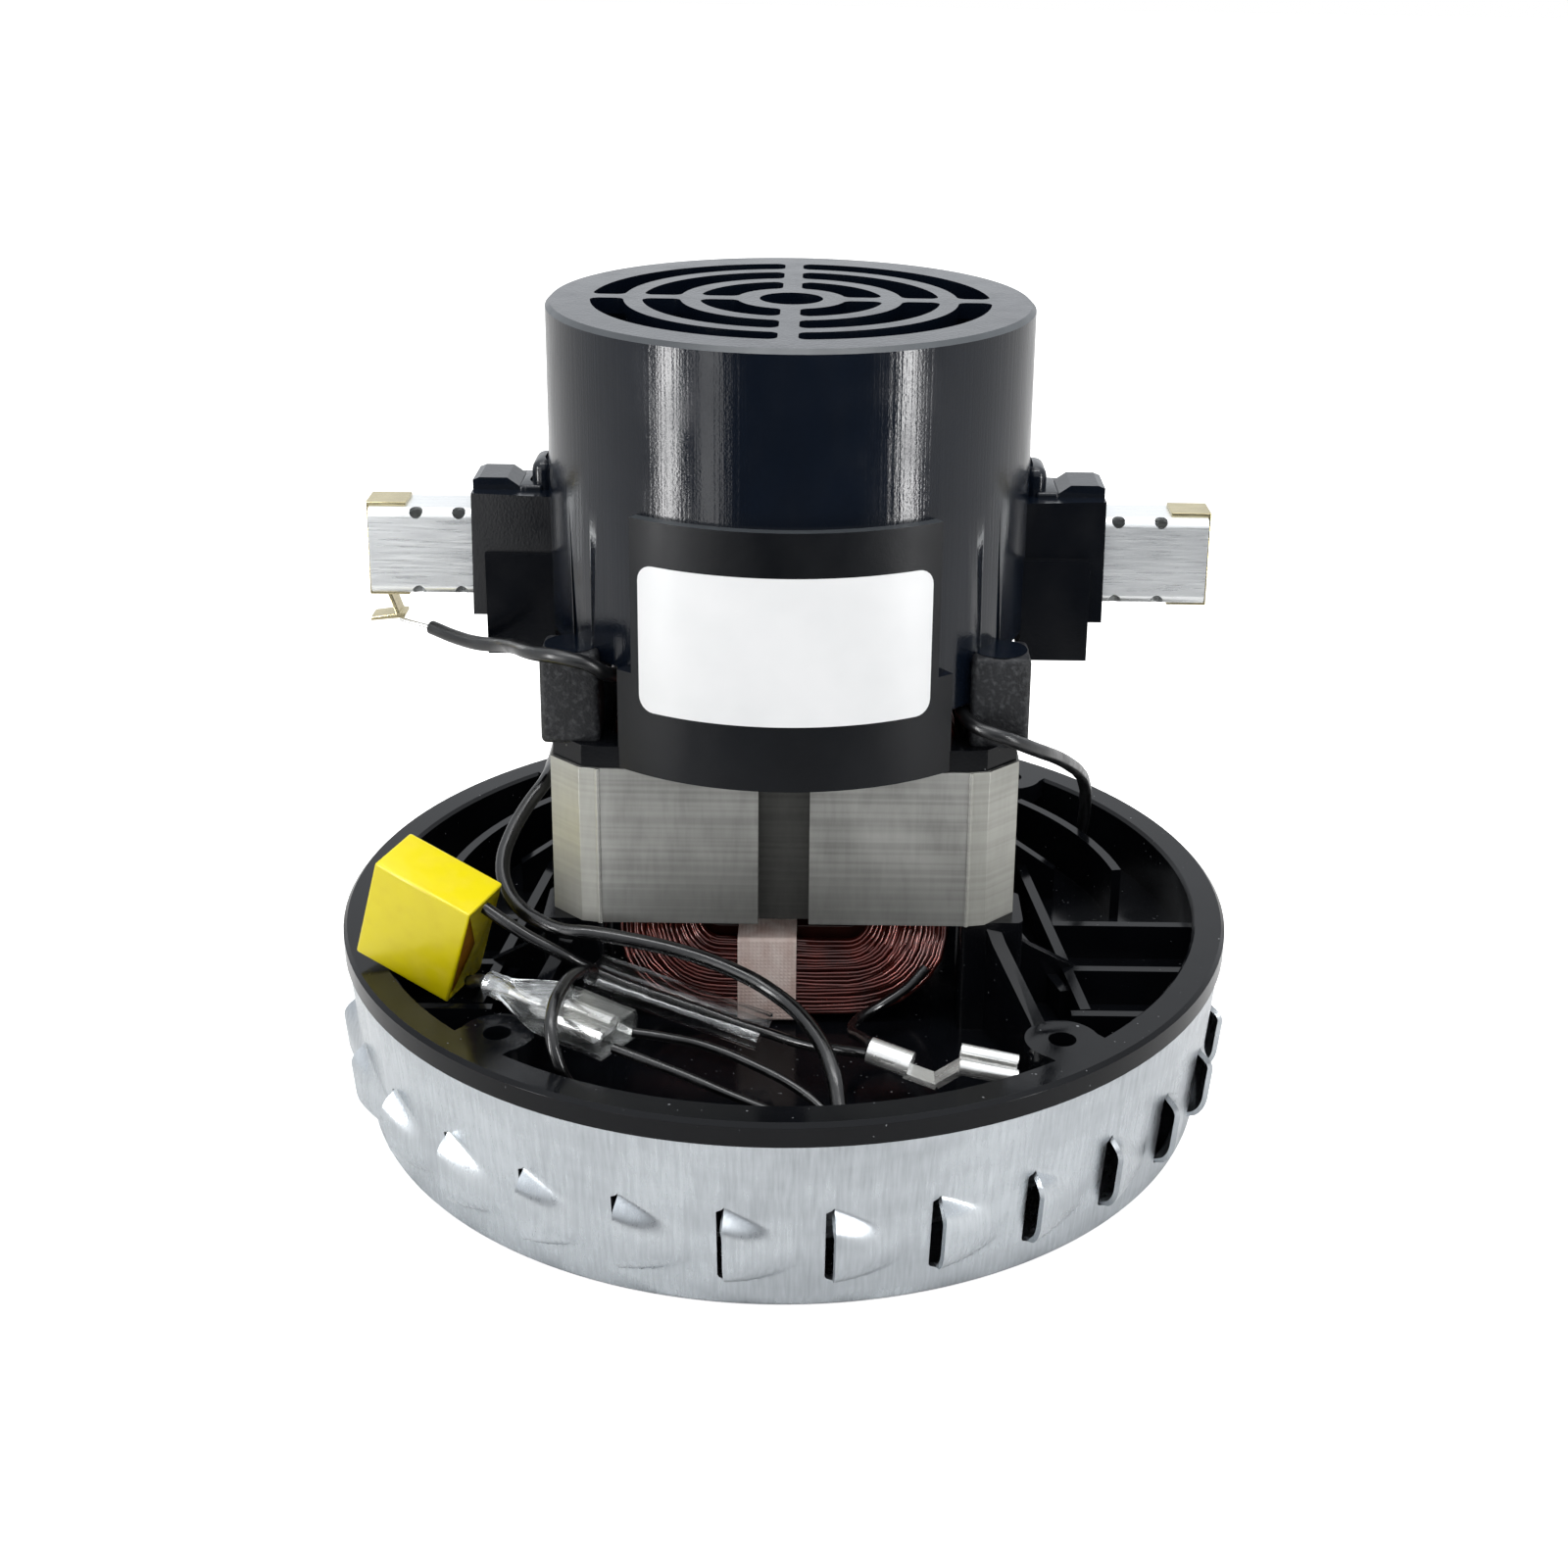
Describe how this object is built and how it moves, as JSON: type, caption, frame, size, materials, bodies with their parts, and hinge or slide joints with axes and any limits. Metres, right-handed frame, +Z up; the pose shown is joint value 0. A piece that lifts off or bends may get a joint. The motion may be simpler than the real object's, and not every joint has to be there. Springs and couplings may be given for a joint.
{
  "type": "vacuum motor unit",
  "caption": "Suction motor for a vacuum cleaner: a black housed brush motor with side brush tubes on a flat louvred fan unit, with its capacitor and leads in the tray",
  "frame": {"origin": "on the motor axis at the underside of the fan shell", "axes": "+Z up the motor axis towards the grille, the brushes lie along X, and the front with the label and the leads faces -Y"},
  "size_m": [0.1454, 0.1452, 0.1304],
  "materials": {
    "sheet": "satin",
    "black_moulding": "matte",
    "housing_moulding": "satin",
    "laminations": "satin",
    "coil_body": "gloss",
    "winding": "gloss",
    "tape": "matte",
    "screw_steel": "satin",
    "zinc_sheet": "satin",
    "clip_brass": "satin",
    "carbon": "matte",
    "spring_steel": "satin",
    "bearing_steel": "polished",
    "copper": "satin",
    "fan_moulding": "satin",
    "impeller_sheet": "satin",
    "yellow_case": "gloss",
    "potting": "satin",
    "lead_black": "gloss",
    "tinned": "polished",
    "clear_sleeve": "gloss"
  },
  "bodies": {
    "motor_frame": {"fan_shell": "sheet", "motor_bracket": "black_moulding", "upper_housing": "housing_moulding", "upper_bearing_bracket": "black_moulding", "stator_core": "laminations", "stator_end_plate": "black_moulding", "field_coil_front": "coil_body", "field_coil_back": "coil_body", "field_winding_front": "winding", "field_winding_back": "winding", "coil_tape": "tape", "stator_screws": "screw_steel", "brush_tube_left": "zinc_sheet", "brush_tube_right": "zinc_sheet", "brush_clip_left": "clip_brass", "brush_clip_right": "clip_brass", "brush_spring_left": "spring_steel", "brush_spring_right": "spring_steel", "lower_bearing_outer": "bearing_steel", "upper_bearing_outer": "bearing_steel", "capacitor_case": "yellow_case", "capacitor_potting": "potting", "capacitor_lead": "lead_black", "capacitor_tail": "tinned", "main_lead": "lead_black", "joint_terminal": "tinned", "jumper_lead": "lead_black", "thin_leads": "lead_black", "supply_lead": "lead_black", "splice_lead": "lead_black", "supply_terminal": "tinned", "terminal_boot": "clear_sleeve", "booted_terminal": "tinned", "clear_sleeve": "clear_sleeve", "brush_lead_left": "lead_black", "brush_lead_right": "lead_black"},
    "rotor": {"rotor_shaft": "bearing_steel", "rotor_core": "laminations", "rotor_windings": "winding", "commutator_hub": "black_moulding", "commutator_bars": "copper", "cooling_fan": "fan_moulding", "impeller": "impeller_sheet", "impeller_spacer": "screw_steel", "impeller_washer": "screw_steel", "impeller_nut": "screw_steel", "lower_bearing_inner": "bearing_steel", "upper_bearing_inner": "bearing_steel"},
    "lower_balls": {"lower_bearing_balls": "bearing_steel"},
    "upper_balls": {"upper_bearing_balls": "bearing_steel"},
    "brush_left": {"carbon_brush_left": "carbon"},
    "brush_right": {"carbon_brush_right": "carbon"}
  },
  "joints": [
    {"name": "rotor_spin", "type": "hinge", "parent": "motor_frame", "child": "rotor", "pos_m": [0, 0, 0.05], "axis": [0, 0, 1], "continuous": true},
    {"name": "lower_cage_turn", "type": "hinge", "parent": "motor_frame", "child": "lower_balls", "pos_m": [0, 0, 0.03], "axis": [0, 0, 1], "continuous": true},
    {"name": "upper_cage_turn", "type": "hinge", "parent": "motor_frame", "child": "upper_balls", "pos_m": [0, 0, 0.11], "axis": [0, 0, 1], "continuous": true},
    {"name": "brush_left_slide", "type": "slide", "parent": "motor_frame", "child": "brush_left", "axis": [-1, 0, 0], "range_m": [0, 0.008], "stiffness_N_per_m": 60, "springref_m": -0.02, "deforming": ["brush_spring_left"]},
    {"name": "brush_right_slide", "type": "slide", "parent": "motor_frame", "child": "brush_right", "axis": [1, 0, 0], "range_m": [0, 0.008], "stiffness_N_per_m": 60, "springref_m": -0.02, "deforming": ["brush_spring_right"]}
  ],
  "couplings": [
    {"joint": "lower_cage_turn", "follows": "rotor_spin", "ratio": 0.37},
    {"joint": "upper_cage_turn", "follows": "rotor_spin", "ratio": 0.37}
  ]
}
